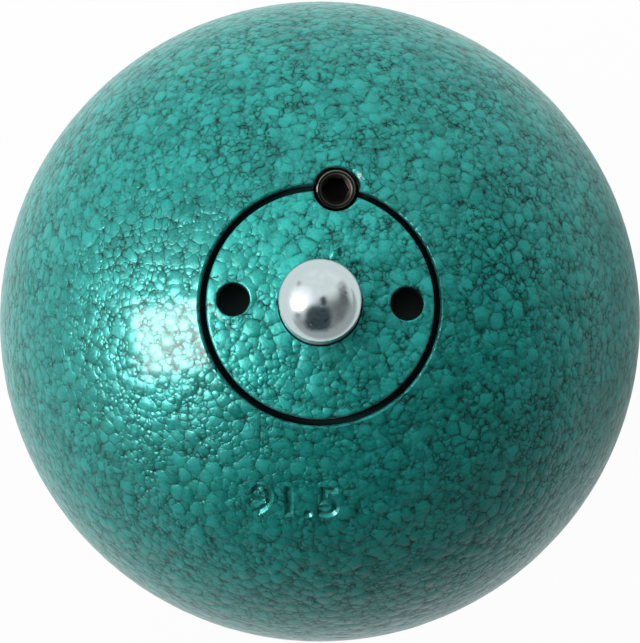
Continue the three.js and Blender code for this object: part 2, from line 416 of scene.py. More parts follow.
def fillet(corners, steps=5, closed=False):
    """Profile through (radius, height, rounding) corners. A rounded corner gives way to the arc that touches
    both of its sides: its middle lies on the bisector at rounding / sin(half the angle)."""
    made = []
    last = len(corners) - 1
    for i, (r, z, rounding) in enumerate(corners):
        here = np.array((r, z), dtype=float)
        if rounding <= 0 or (not closed and i in (0, last)):
            made.append(here[None])
            continue
        before = np.array(corners[i - 1][:2]) - here
        after = np.array(corners[0 if i == last else i + 1][:2]) - here
        before /= np.linalg.norm(before)
        after /= np.linalg.norm(after)
        half = math.acos(float(np.clip(before @ after, -1, 1))) / 2
        bisector = (before + after) / np.linalg.norm(before + after)
        middle = here + bisector * rounding / math.sin(half)
        start = here + before * rounding / math.tan(half) - middle
        end = here + after * rounding / math.tan(half) - middle
        share = np.linspace(0, 1, steps + 1)[:, None]
        sweep = math.pi - 2 * half
        arc = np.sin((1 - share) * sweep) * start + np.sin(share * sweep) * end
        made.append(middle + arc / math.sin(sweep))
    return np.concatenate(made)


def ball_arc(start, end, spacing):
    """Profile of the ball between two angles from the top, in degrees, in steps of about the given length."""
    radius = plan().ball
    steps = max(1, round(abs(math.radians(end - start)) * radius / spacing))
    angle = np.radians(np.linspace(start, end, steps + 1))
    return np.column_stack((radius * np.sin(angle), radius + radius * np.cos(angle)))


def thread_rings(root, depth, low, high, pitch, count, rows_a_turn=12):
    """Rings of a screw thread, from low to high: the radius is root plus depth times a tooth, a cosine clipped flat
    at crest and root, along a helix that climbs one pitch a turn. The tooth fades out over a pitch at both ends."""
    turn = np.arange(count) / count
    made = []
    for z in np.linspace(low, high, round((high - low) / pitch * rows_a_turn) + 1):
        fade = min(z - low, high - z, pitch) / pitch
        fade = fade * fade * (3 - 2 * fade)
        tooth = np.clip(0.5 + 0.75 * np.cos(2 * math.pi * (z / pitch - turn)), 0, 1)
        made.append(ring(root + depth * fade * tooth, z, count))
    return made


def stack(rings, closed=False):
    """Skin over rings of points that all turn the same way, upwards on the outside. Two like rings are joined by
    quads, one of twice as many points by three triangles for each coarse side, and a single point by a fan."""
    starts = np.cumsum([0] + [len(r) for r in rings])
    quads, triangles = [], []
    pairs = [(i, i + 1) for i in range(len(rings) - 1)] + ([(len(rings) - 1, 0)] if closed else [])
    for low, high in pairs:
        a, b = starts[low], starts[high]
        na, nb = len(rings[low]), len(rings[high])
        i = np.arange(min(na, nb) if min(na, nb) > 1 else max(na, nb))
        if na == nb:
            j = (i + 1) % na
            quads.append(np.column_stack((a + i, a + j, b + j, b + i)))
        elif na == 1:
            j = (i + 1) % nb
            triangles.append(np.column_stack((np.full(nb, a), b + j, b + i)))
        elif nb == 1:
            j = (i + 1) % na
            triangles.append(np.column_stack((a + i, a + j, np.full(na, b))))
        elif nb == 2 * na:
            j, k, m, n = (i + 1) % na, 2 * i, 2 * i + 1, (2 * i + 2) % nb
            sides = (a + i, b + m, b + k), (a + i, a + j, b + m), (a + j, b + n, b + m)
            triangles += [np.column_stack(side) for side in sides]
        elif na == 2 * nb:
            j, k, m, n = (i + 1) % nb, 2 * i, 2 * i + 1, (2 * i + 2) % na
            sides = (a + k, a + m, b + i), (a + m, b + j, b + i), (a + m, a + n, b + j)
            triangles += [np.column_stack(side) for side in sides]
        else:
            raise ValueError(f"rings of {na} and {nb} points don't join")
    quads = np.concatenate([np.empty((0, 4), int), *quads])
    triangles = np.concatenate([np.empty((0, 3), int), *triangles])
    return np.concatenate(rings), quads, triangles


def new_object(name, points, quads, triangles):
    """Mesh object from points in millimetres and faces, at the origin."""
    mesh = bpy.data.meshes.new(name)
    corners = np.concatenate((quads.ravel(), triangles.ravel())).astype(np.int32)
    sides = np.concatenate((np.full(len(quads), 4), np.full(len(triangles), 3))).astype(np.int32)
    mesh.vertices.add(len(points))
    mesh.vertices.foreach_set("co", (points * MM).astype(np.float32).ravel())
    mesh.loops.add(len(corners))
    mesh.loops.foreach_set("vertex_index", corners)
    mesh.polygons.add(len(sides))
    mesh.polygons.foreach_set("loop_start", (np.cumsum(sides) - sides).astype(np.int32))
    mesh.update(calc_edges=True)
    mesh.validate()
    made = bpy.data.objects.new(name, mesh)
    bpy.context.scene.collection.objects.link(made)
    return made


def turned(name, rings, closed=False):
    """Object whose surface is the skin over the rings."""
    return new_object(name, *stack(rings, closed))


def take(obj):
    """Points of an object's mesh in millimetres."""
    flat = np.empty(len(obj.data.vertices) * 3, np.float32)
    obj.data.vertices.foreach_get("co", flat)
    return flat.reshape(-1, 3).astype(float) / MM


def put(obj, points):
    """Moves the points of an object's mesh, in millimetres."""
    obj.data.vertices.foreach_set("co", (points * MM).astype(np.float32).ravel())
    obj.data.update()


def settle(obj):
    """Applies the object's modifiers."""
    graph = bpy.context.evaluated_depsgraph_get()
    graph.update()
    mesh = bpy.data.meshes.new_from_object(obj.evaluated_get(graph))
    obj.modifiers.clear()
    old = obj.data
    obj.data = mesh
    bpy.data.meshes.remove(old)
    mesh.name = obj.name


def cut(obj, cutters):
    """Takes the cutters' solids out of the object, and deletes them."""
    for cutter in cutters:
        modifier = obj.modifiers.new("cut", "BOOLEAN")
        modifier.operation = "DIFFERENCE"
        modifier.solver = "MANIFOLD"
        modifier.object = cutter
    settle(obj)
    for cutter in cutters:
        bpy.data.meshes.remove(cutter.data)


def lift_paint(obj, mask, height):
    """Moves the points by the paint's relief, where the mask of a point lets it: from 0, not at all, to 1."""
    rest = take(obj)
    modifier = obj.modifiers.new("relief", "NODES")
    modifier.node_group = relief_modifier(height * MM)
    settle(obj)
    put(obj, rest + (take(obj) - rest) * mask(rest)[:, None])


def on_ball(points, head):
    """Which points lie on the ball's sphere."""
    return head.ball - np.linalg.norm(points - (0, 0, head.ball), axis=1) < 0.02


def ramp(values, low, high):
    """0 at low, 1 at high, and smooth between."""
    share = np.clip((values - low) / (high - low), 0, 1)
    return share * share * (3 - 2 * share)


def finish(obj, body, node_names, surface_material, sharp=35):
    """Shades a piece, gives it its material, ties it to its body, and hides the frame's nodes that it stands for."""
    mesh = obj.data
    mesh.materials.clear()
    mesh.materials.append(surface_material)
    mesh.polygons.foreach_set("use_smooth", np.ones(len(mesh.polygons), bool))
    mesh.set_sharp_from_angle(angle=math.radians(sharp))
    mesh.update()
    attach(obj, body)
    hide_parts(*node_names)


def hole_cutter(name, centre, radius, floor, edge, surface, worn=0.0, count=96):
    """Solid of a drilled hole with a rounded mouth: the drill's point, a straight wall, then a quarter circle of
    radius edge, whose height follows the surface, and a collar above it. Where the mouth is worn, a flat of that
    width lies in the quarter circle at WORN_SLOPE. Edge and worn are one number, or one for each point round."""
    drill = radius / math.tan(DRILL_POINT / 2)
    rings = [point(*centre, floor - drill), ring(radius, floor, count, centre)]
    middle = math.pi / 2 - WORN_SLOPE
    leans = [(lean, 0) for lean in np.linspace(0, middle, 6)]
    leans += [(lean, 1) for lean in np.linspace(middle, math.radians(LAST_LEAN), 3)]
    for lean, past in leans:
        out = edge * (1 - math.cos(lean)) + past * worn * math.cos(WORN_SLOPE)
        below = edge * (1 - math.sin(lean)) + (1 - past) * worn * math.sin(WORN_SLOPE)
        flat = ring(radius + out, 0.0, count, centre)
        flat[:, 2] = surface(np.hypot(flat[:, 0], flat[:, 1])) - below
        rings.append(flat)
    collar = rings[-1] + (0, 0, 1.2)
    rings += [collar, point(*centre, collar[:, 2].mean() + 0.5)]
    return turned(name, rings)


def lock_hole_cutter(head, count=96):
    """The lock screw's hole, whose mouth is worn on one side."""
    angle = 2 * math.pi * np.arange(count) / count
    side = np.maximum(np.cos(angle - WORN_SIDE), 0)
    edge, worn = head.edge * (1.2 + side**2), 0.02 + 0.9 * side**4
    return hole_cutter("lock_hole", head.lock_place, head.lock, head.lock_floor, edge, head.surface, worn, count)


# Materials


def flake_painted_shadow(graph, place, grain, head):
    """Painted shadow on the flake's lee side: a dark oval beside it with a ragged edge, only on top of the ball."""
    x, y, z = graph.axes(place)
    x, y = (x - (FLAKE[0] + 0.75) * MM) / (0.42 * MM), (y - (FLAKE[1] + 0.1) * MM) / (0.85 * MM)
    oval = graph.hypot(x, y) + (grain - 0.5) * 0.8
    return oval.step(1.1, 0.5) * z.step(1.5 * head.ball * MM, 1.6 * head.ball * MM)


def hammer_paint(name, look, head, tone=1.0, rough=0.25):
    """Hammer paint: cells with dark lines between them over a metallic ground, calmer towards the ball's sides,
    and bare iron below the surface. The dark lines are partly the paint's own veins and partly painted shade in the
    creases; painted shade also darkens the paint in recesses and beside the flake, and painted light lightens the
    bare iron deep inside the holes and the bore. Tone is its lightness, and rough the roughness of its smoothest
    places."""
    graph, place, surface = material(name)
    dome, vein_and_shade, tint = paint_cells(graph, place)
    broken = graph.noise(place, 1.2 * MM, detail=2.0)
    smooth = graph.noise(place, 10 * MM, detail=1.0).step(0.66, 0.52)
    calm = graph.axes(place)[2].step(1.15 * head.ball * MM, 1.75 * head.ball * MM)
    vein_and_shade = vein_and_shade * (broken - smooth * 0.12).step(0.26, 0.52) * between(calm, 0.5, 1.0)
    grain = graph.noise(place, 0.30 * MM, detail=3.0)
    cloud = graph.noise(place, 5 * MM, detail=2.0)
    cell = graph.axes(tint)[0]
    pale = (cell * 0.35 + cloud * 0.5 + grain * 0.9 + dome * 0.25 - 0.50).step(0.1, 0.9)
    thin, thick = (tuple(tone * c for c in own) for own in (look.paint, look.paint_pale))
    paint = graph.mix(pale * 0.8, thin, thick)
    centre = graph.vector("SUBTRACT", place, (0.0, 0.0, head.ball * MM))
    depth = head.ball * MM - graph.vector("LENGTH", centre, output=1)
    inside = (depth + (broken - 0.5) * 0.25 * MM).step(0.50 * MM, 0.75 * MM)
    peel = graph.noise(place, 0.65 * MM, detail=1.0)
    # Painted shadow beside the raised flake.
    vein_and_shade = graph.math("MAXIMUM", vein_and_shade, flake_painted_shadow(graph, place, grain, head))
    # Painted shade in recesses: the paint darkens with depth below the ball's surface, in the number's grooves and
    # the mouths of the holes.
    vein_and_shade = graph.math("MAXIMUM", vein_and_shade, depth.step(0.10 * MM, 0.45 * MM) * 0.5)
    # The paint darkens towards the vein colour along the veins and, as painted shade, on each cell's lower slopes.
    paint = graph.mix(dome.step(0.45, 0.0) * 0.2 + vein_and_shade * 0.92, paint, look.paint_vein_and_shade)
    relief = dome * (0.55 + smooth * 0.45) + peel * 0.22 + grain * 0.06 - vein_and_shade * 0.12
    relief = relief * between(calm, 0.65, 1.12)
    gloss = rough + cell * 0.08 + vein_and_shade * 0.3 + grain * 0.08
    # Painted light: the bare iron is lightened deep below the surface, inside the holes and the bore, where little
    # light reaches.
    painted_light_deep = depth.step(3.4 * MM, 4.6 * MM)
    iron = graph.mix(painted_light_deep, look.iron, (0.06, 0.085, 0.075))
    return surface(Base_Color=graph.mix(inside, paint, iron),
                   Roughness=between(inside, gloss, 0.5 + grain * 0.2),
                   Metallic=between(inside, 0.10 + vein_and_shade * 0.45, 0.96 - painted_light_deep * 0.7),
                   IOR=1.26, Specular_Tint=(0.7, 0.85, 0.88, 1.0),
                   Coat_Weight=0.16 - inside * 0.16, Coat_Roughness=0.14, Coat_IOR=1.45,
                   Sheen_Weight=0.22, Sheen_Roughness=0.22,
                   Normal=graph.bump(relief * (1 - inside) + grain * inside * 0.2, 0.15 * MM))


def chrome(name, look, shoulder):
    """Polished chrome: faint turning lines, a breath of haze and a few dull specks."""
    graph, place, surface = material(name)
    x, y, z = graph.axes(place)
    radius = graph.hypot(x, y)
    turns = graph.node("ShaderNodeCombineXYZ", None, {"X": radius * 60, "Y": z * 60})
    lines = graph.noise(turns, 1.2 * MM)
    haze = graph.noise(place, 2.6 * MM, detail=4.0)
    specks = graph.voronoi(place, 0.8 * MM, "F1").step(0.17, 0.08) * haze.step(0.50, 0.58)
    tint = graph.mix(specks * 0.5, look.chrome, (0.30, 0.31, 0.32))
    side = z.step((shoulder + 0.1) * MM, (shoulder - 0.5) * MM)
    rough = 0.07 + haze * 0.09 + specks * 0.2 + side * 0.2
    return surface(Base_Color=tint, Metallic=1.0, Roughness=rough,
                   Normal=graph.bump(lines * 0.3 + haze * 0.7 - specks, 0.007 * MM))


def oxide(name, look, head):
    """Black oxide steel: nearly black, with a brown cast, lighter in rings at the top's edge and round the socket's
    mouth, partly rubbed wear and partly painted highlight, and with a trace of rust.
    """
    graph, place, surface = material(name)
    broad = graph.noise(place, 1.6 * MM, detail=3.0)
    fine = graph.noise(place, 0.12 * MM, detail=3.0)
    local = graph.vector("SUBTRACT", place, (head.lock_place[0] * MM, head.lock_place[1] * MM, 0.0))
    x, y, _ = graph.axes(local)
    radius = graph.hypot(x, y)
    rim = graph.math("ABSOLUTE", radius - (head.screw - 0.22) * MM).step(0.12 * MM, 0.03 * MM)
    mouth = graph.math("ABSOLUTE", radius - (head.socket + 0.56) * MM).step(0.12 * MM, 0.03 * MM)
    # Lighter rings at the top's chamfered edge and the socket's mouth: partly rubbed wear, partly painted highlight
    # where the chamfers catch light.
    worn = (rim * 0.8 + mouth * 0.2) * (0.3 + broad)
    rust = (broad - 0.1 * fine).step(0.50, 0.66) * 0.2
    tint = graph.mix(rust, look.oxide, (0.026, 0.017, 0.011))
    tint = graph.mix(worn, tint, (0.17, 0.17, 0.165))
    return surface(Base_Color=tint, Metallic=0.95, Specular_Tint=(0.15, 0.15, 0.15, 1.0),
                   Roughness=0.34 + fine * 0.25 + rust * 0.2,
                   Normal=graph.bump(fine + broad, 0.03 * MM))


def ground_steel(name, look, tone=1.0, roughness=0.16):
    """Ground steel: rings of fine grinding lines round the axis, with a thin film of grease."""
    graph, place, surface = material(name)
    x, y, z = graph.axes(place)
    radius = graph.hypot(x, y)
    turns = graph.node("ShaderNodeCombineXYZ", None, {"X": radius, "Y": z})
    lines = graph.noise(turns, 0.09 * MM, detail=3.0)
    film = graph.noise(place, 3 * MM, detail=3.0)
    clean, greasy = (tuple(share * tone * c for c in look.steel) for share in (1.0, 0.5))
    tint = graph.mix(film.step(0.45, 0.75) * 0.5 + lines * 0.15, clean, greasy)
    return surface(Base_Color=tint, Metallic=1.0, Roughness=roughness + lines * 0.12 + film * 0.1,
                   Normal=graph.bump(lines, 0.004 * MM))


def bronze(name, look):
    """Sintered bronze: fine pores, darker with oil."""
    graph, place, surface = material(name)
    pores = graph.voronoi(place, 0.28 * MM, "F1").step(0.30, 0.18)
    stain = graph.noise(place, 2.4 * MM, detail=3.0)
    tint = graph.mix(pores * 0.7 + stain * 0.3, look.bronze, tuple(0.25 * c for c in look.bronze))
    return surface(Base_Color=tint, Metallic=0.9, Roughness=0.32 + stain * 0.2 + pores * 0.2,
                   Normal=graph.bump(1 - pores, 0.02 * MM))


def rubber(name, look):
    """Moulded rubber: matte, with a little dust and grease."""
    graph, place, surface = material(name)
    grain = graph.noise(place, 0.15 * MM, detail=3.0)
    dust = graph.noise(place, 1.8 * MM, detail=4.0).step(0.52, 0.72)
    tint = graph.mix(dust * 0.35, look.rubber, (0.10, 0.095, 0.085))
    return surface(Base_Color=tint, Roughness=0.62 + grain * 0.2, Normal=graph.bump(grain, 0.02 * MM))


# Pieces


def ball_rings(head):
    """Outside of the ball from its lowest point up to the mouth, then down the seam, the thread and the chamber.
    The rings are finer towards the mouth, and those near the lowest point have fewer points."""
    def count(radius):
        return 480 if radius >= head.ball / 2 else 240 if radius >= 11 else 120 if radius >= 4.8 else 60

    mouth_angle = math.degrees(math.asin(head.mouth / head.ball))
    arcs = ball_arc(180, 150, 0.9), ball_arc(150, 100, 0.8), ball_arc(100, 30, 0.6), ball_arc(30, mouth_angle, 0.42)
    outside = np.concatenate([arc[1:] for arc in arcs])[:-1]
    rings = [point(0, 0, 0)] + [ring(r, z, count(r)) for r, z in outside]
    core = head.plug + SEAT_GAP
    edge = fillet([(*outside[-1], 0), (head.mouth, head.surface(head.mouth), 1.6 * head.edge),
                   (head.mouth, head.seam_floor, 0.12), (core, head.seam_floor, 0.08), (core, head.thread_high, 0)])
    rings += lathe(edge[1:-1], 240)
    rings += thread_rings(core, head.thread, head.thread_low, head.thread_high, head.pitch, 120)[::-1]
    drill = head.chamber / math.tan(DRILL_POINT / 2)
    inside = fillet([(core, head.thread_low, 0), (core, head.shoulder, 0.2), (head.chamber, head.shoulder, 0.3),
                     (head.chamber, head.floor, 0.5), (0, head.floor - drill, 0)])
    return rings + lathe(inside[1:], 120)


def number_cutter(head, sizes, stage):
    """The number's solid: its outlines, grown by their bevel above and bare below, laid on the ball by turning
    each point's two flat measures into directions and its third into a distance from the ball's middle."""
    curve = bpy.data.curves.new("number", "FONT")
    figure_height = 0.71  # as a share of the font's size
    settings = {"body": f"{sizes.ball_diameter / MM:.1f}", "align_x": "CENTER", "align_y": "CENTER",
                "size": sizes.number_height / MM / figure_height, "space_character": 1.12, "resolution_u": 6,
                "offset": -0.14, "bevel_depth": sizes.number_depth / MM, "bevel_resolution": 0}
    for key, value in settings.items():
        setattr(curve, key, value)
    text = bpy.data.objects.new("number", curve)
    bpy.context.scene.collection.objects.link(text)
    graph = bpy.context.evaluated_depsgraph_get()
    graph.update()
    mesh = bpy.data.meshes.new_from_object(text.evaluated_get(graph))
    bpy.data.curves.remove(curve)
    shape = bmesh.new()
    shape.from_mesh(mesh)
    bmesh.ops.remove_doubles(shape, verts=shape.verts, dist=1e-4)
    bmesh.ops.recalc_face_normals(shape, faces=shape.faces)
    shape.to_mesh(mesh)
    shape.free()
    made = bpy.data.objects.new("number_cutter", mesh)
    bpy.context.scene.collection.objects.link(made)
    flat = take(made) * MM
    right, up, back = camera_axes(stage)
    across, down, lean = -25.0, 183.0, math.radians(31.9)  # direction in the view, and angle from its middle
    side = (right * across - up * down).normalized()
    normal = back * math.cos(lean) + side * math.sin(lean)
    right = (right - normal * right.dot(normal)).normalized()
    up = normal.cross(right)
    directions = np.array(normal) + (flat[:, :1] * np.array(right) + flat[:, 1:2] * np.array(up)) / head.ball
    directions /= np.linalg.norm(directions, axis=1, keepdims=True)
    put(made, (0, 0, head.ball) + directions * (head.ball + 0.06 + flat[:, 2:]))
    return made


def camera_axes(stage):
    """Right, up and back of the camera: it leans towards -Y from straight above, and is rolled."""
    tilt, roll = stage.camera_tilt, stage.camera_roll
    up = Vector((-math.sin(roll), math.cos(roll), 0))
    back = (Vector((0, 0, 1)) * math.cos(tilt) - up * math.sin(tilt)).normalized()
    up = (up - back * up.dot(back)).normalized()
    return up.cross(back), up, back


class HAMMER_OT_ball(bpy.types.Operator):
    """Cast iron ball with its mouth, thread, chamber, lock screw hole and number"""

    bl_idname = "hammer.ball"
    bl_label = "Ball"

    def execute(self, context):
        scene = context.scene
        head = plan()
        ball = turned("ball_casting", ball_rings(head))

        def mask(points):
            axis = np.hypot(points[:, 0], points[:, 1])
            from_hole = np.hypot(*(points[:, :2] - head.lock_place).T)
            clear = ramp(axis, head.mouth + 0.2, head.mouth + 1.2)
            clear = clear * ramp(from_hole, head.lock + 0.5, head.lock + 1.3)
            return np.where(points[:, 2] > head.ball, clear, 1.0) * on_ball(points, head)

        lift_paint(ball, mask, scene.hammer_sizes.relief / MM)
        cut(ball, [lock_hole_cutter(head)])
        cut(ball, [number_cutter(head, scene.hammer_sizes, scene.hammer_stage)])
        finish(ball, "head", ["ball_body"],
               hammer_paint("hammer_paint_on_iron", scene.hammer_look, head))
        return {"FINISHED"}


class HAMMER_OT_plug(bpy.types.Operator):
    """Screw plug with its thread, spanner holes, seal groove and half of the lock screw hole"""

    bl_idname = "hammer.plug"
    bl_label = "Screw plug"

    def execute(self, context):
        scene = context.scene
        head = plan()
        face = np.linspace(head.plug - 0.75, head.bore + 0.35, 45)
        face = np.column_stack((face, head.surface(face)))
        low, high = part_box("dust_seal")
        groove_low, groove_high = low.z / MM - SEAT_GAP, high.z / MM + SEAT_GAP
        groove = high.x / MM + SEAT_GAP
        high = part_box("plug_bush")[1]
        bush, bush_top = high.x / MM + SEAT_GAP, high.z / MM + SEAT_GAP
        foot = fillet([(bush, head.underside, 0), (head.plug - 0.8, head.underside, 0.15),
                       (head.plug, head.thread_low, 0)])
        rim = fillet([(head.plug, head.thread_high, 0), (head.plug, head.surface(head.plug), 1.8 * head.edge),
                      (*face[0], 0)])
        bore = fillet([(*face[-1], 0), (head.bore, head.surface(head.bore), 0.18), (head.bore, groove_high, 0.1),
                       (groove, groove_high, 0.15), (groove, groove_low, 0.15), (head.bore, groove_low, 0.1),
                       (head.bore, bush_top, 0.15), (bush, bush_top, 0.1), (bush, head.underside, 0)])
        rings = lathe(foot[:-1], 120)
        rings += thread_rings(head.plug, head.thread, head.thread_low, head.thread_high, head.pitch, 120)
        rings += lathe(rim[1:-1], 240)
        rings += [ring(r, z, 240 if r > 6 else 120) for r, z in face]
        rings += lathe(bore[1:-1], 120)
        plug = turned("screw_plug_threaded", rings, closed=True)
        spanner_places = [(side * head.spanner_place, head.spanner_shift) for side in (1, -1)]

        def mask(points):
            axis = np.hypot(points[:, 0], points[:, 1])
            clear = ramp(axis, head.bore + 0.2, head.bore + 1.0) * ramp(head.plug - axis, 0.25, 1.0)
            for place, radius in ((spanner_places[0], head.spanner), (spanner_places[1], head.spanner),
                                  (head.lock_place, head.lock)):
                from_hole = np.hypot(*(points[:, :2] - place).T)
                clear = clear * ramp(from_hole, radius + 0.3, radius + 1.0)
            return clear * on_ball(points, head)

        lift_paint(plug, mask, scene.hammer_sizes.relief / MM)
        put(plug, raise_flake(take(plug), head))
        holes = [hole_cutter("spanner_hole", place, head.spanner, head.spanner_floor, head.edge, head.surface)
                 for place in reversed(spanner_places)]
        cut(plug, holes + [lock_hole_cutter(head)])
        finish(plug, "head", ["screw_plug"],
               hammer_paint("hammer_paint_on_steel", scene.hammer_look, head, 1.27, 0.33))
        return {"FINISHED"}


def raise_flake(points, head):
    """The points with the flake of paint raised on the plug's face: height times exp(-(x / wide)^2 - (y / long)^2),
    slanted a little."""
    height, wide, long = 0.36, 0.38, 0.80
    x, y = points[:, 0] - FLAKE[0], points[:, 1] - FLAKE[1]
    on_face = np.abs(points[:, 2] - head.surface(math.hypot(*FLAKE))) < 0.5
    points[:, 2] += height * np.exp(-((x - 0.25 * y) / wide) ** 2 - (y / long) ** 2) * on_face
    return points


class HAMMER_OT_lock_screw(bpy.types.Operator):
    """Grub screw in black oxide steel, with its thread and hexagon socket"""

    bl_idname = "hammer.lock_screw"
    bl_label = "Lock screw"

    def execute(self, context):
        scene = context.scene
        head = plan()
        root, depth, pitch = head.screw - 0.42, 0.42, 1.0
        low, high, crest = head.screw_low, head.screw_high, head.screw - 0.02
        foot = fillet([(0, low, 0), (root - 0.3, low, 0.1), (root, low + 0.3, 0)])
        crown = fillet([(root, high - 0.8, 0), (crest, high - 0.68, 0.05), (crest, high - 0.24, 0.10),
                        (head.screw - 0.26, high, 0.10), (head.socket + 0.4, high, 0), (0, high, 0)])
        rings = lathe(foot, 96) + thread_rings(root, depth, low + 0.4, high - 0.9, pitch, 96) + lathe(crown, 96)
        screw = turned("grub_screw", rings)
        corner, above = head.socket * 2 / math.sqrt(3), high + 1
        mouth = corner + 0.34
        hexagon = [(0, head.socket_floor - 0.5), (corner, head.socket_floor), (corner, above), (0, above)]
        cone = [(0, high - mouth * 0.62), (mouth, high), (mouth, above), (0, above)]
        cut(screw, [turned("hexagon", lathe(hexagon, 6)), turned("countersink", lathe(cone, 96))])
        put(screw, take(screw) + (*head.lock_place, 0.0))
        finish(screw, "head", ["lock_screw"], oxide("black_oxide", scene.hammer_look, head))
        return {"FINISHED"}


class HAMMER_OT_stud(bpy.types.Operator):
    """Chromed swivel stud with its dome, the wire's eye, its journal and its flange"""

    bl_idname = "hammer.stud"
    bl_label = "Swivel stud"

    def execute(self, context):
        scene = context.scene
        head = plan()
        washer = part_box("shaft_washer")
        flange_top, journal_top = (z.z / MM - SEAT_GAP for z in washer)
        low, high = head.stud_low, head.stud_high
        shoulder = high - head.dome_height
        # The dome is a cap of the sphere with radius (radius^2 + height^2) / (2 height).
        cap = (head.stud**2 + head.dome_height**2) / (2 * head.dome_height)
        start = math.acos(head.stud / cap)
        angle = np.linspace(start, math.pi / 2, 26)[1:]
        dome = np.column_stack((cap * np.cos(angle), high - cap + cap * np.sin(angle)))
        dome[-1, 0] = 0
        centre_hole = 1.5
        profile = fillet([(0, low + centre_hole * math.sqrt(3), 0), (centre_hole, low, 0.1), (head.flange, low, 0.5),
                          (head.flange, flange_top, 0.5), (head.journal, flange_top, 0.25),
                          (head.journal, journal_top - 0.45, 0.1), (head.stud, journal_top, 0.2),
                          (head.stud, head.eye_height, 0), (head.stud, shoulder, 0.22), (*dome[0], 0)])
        rings = lathe(np.concatenate((profile, dome[1:])), 144)
        stud = turned("swivel_stud_turned", rings)
        cut(stud, [eye_cutter(head)])
        finish(stud, "swivel", ["swivel_stud"], chrome("chrome", scene.hammer_look, shoulder))
        return {"FINISHED"}


def eye_cutter(head, edge=0.8, count=96):
    """Solid of the eye along X: straight inside, with a quarter circle at each mouth whose distance from the middle
    follows the stud's round side, sqrt(radius^2 - y^2)."""
    angle = 2 * math.pi * np.arange(count) / count
    reach = head.stud + 2

    def mouth(side, lean):
        q = head.eye + edge * (1 - math.cos(lean))
        y, z = q * np.cos(angle), head.eye_height + q * np.sin(angle)
        x = np.sqrt(head.stud**2 - y**2) - edge * (1 - math.sin(lean))
        return np.column_stack((side * x, y, z))

    def end(side):
        rim = mouth(side, math.radians(LAST_LEAN))
        rim[:, 0] = side * reach
        return rim

    leans = np.radians(np.linspace(LAST_LEAN, 0, 8))
    rings = [point(-reach - 1, 0, head.eye_height), end(-1)] + [mouth(-1, lean) for lean in leans]
    rings += [mouth(1, lean) for lean in leans[::-1]] + [end(1), point(reach + 1, 0, head.eye_height)]
    return turned("eye", rings)


class HAMMER_OT_guides(bpy.types.Operator):
    """Bronze bush and rubber dust seal that guide and cover the stud"""

    bl_idname = "hammer.guides"
    bl_label = "Bush and seal"

    def execute(self, context):
        look = context.scene.hammer_look
        head = plan()
        low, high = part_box("plug_bush")
        outer, bottom, top = high.x / MM, low.z / MM, high.z / MM
        middle, groove = (bottom + top) / 2, head.bore + 0.3
        section = fillet([(head.bore, bottom, 0.3), (outer, bottom, 0.4), (outer, top, 0.4), (head.bore, top, 0.3),
                          (head.bore, middle + 0.8, 0.1), (groove, middle + 0.5, 0.1),
                          (groove, middle - 0.5, 0.1), (head.bore, middle - 0.8, 0.1)], 4, closed=True)
        bush = turned("guide_bush", lathe(section, 120), closed=True)
        finish(bush, "head", ["plug_bush"], bronze("sintered_bronze", look))
        low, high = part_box("dust_seal")
        radius = (high.z - low.z) / 2 / MM
        centre, middle = high.x / MM - radius, (low.z + high.z) / 2 / MM
        angle = np.linspace(0, 2 * math.pi, 25)[:-1]
        section = np.column_stack((centre + radius * np.cos(angle), middle + radius * np.sin(angle)))
        seal = turned("round_seal", lathe(section, 120), closed=True)
        finish(seal, "head", ["dust_seal"], rubber("moulded_rubber", look), sharp=60)
        return {"FINISHED"}


